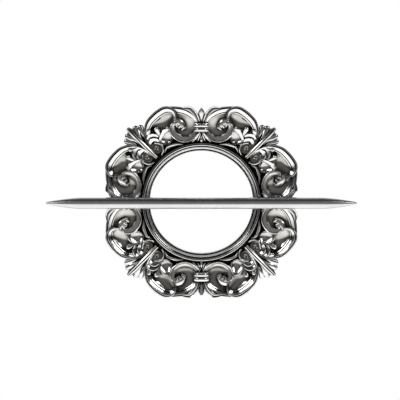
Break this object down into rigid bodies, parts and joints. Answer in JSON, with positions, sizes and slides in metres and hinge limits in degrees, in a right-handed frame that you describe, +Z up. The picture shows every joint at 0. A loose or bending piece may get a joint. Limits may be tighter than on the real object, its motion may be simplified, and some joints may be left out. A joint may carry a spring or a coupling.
{
  "type": "curtain holdback",
  "caption": "Ornate curtain holdback: a carved ring of scrolls and leaves that a gathered curtain is drawn through, with a loose tapered stick lying across its front.",
  "frame": {"origin": "centre of the round opening, on the ring's flat back", "axes": "+X along the stick, +Y along the opening's axis out of the flat back, +Z up; the carved front faces -Y"},
  "size_m": [0.24, 0.0211, 0.1496],
  "materials": {
    "ring_silver": "polished, with darkened recesses",
    "stick_silver": "satin"
  },
  "bodies": {
    "root": {"carved_ring": "ring_silver", "stick": "stick_silver"}
  },
  "joints": []
}
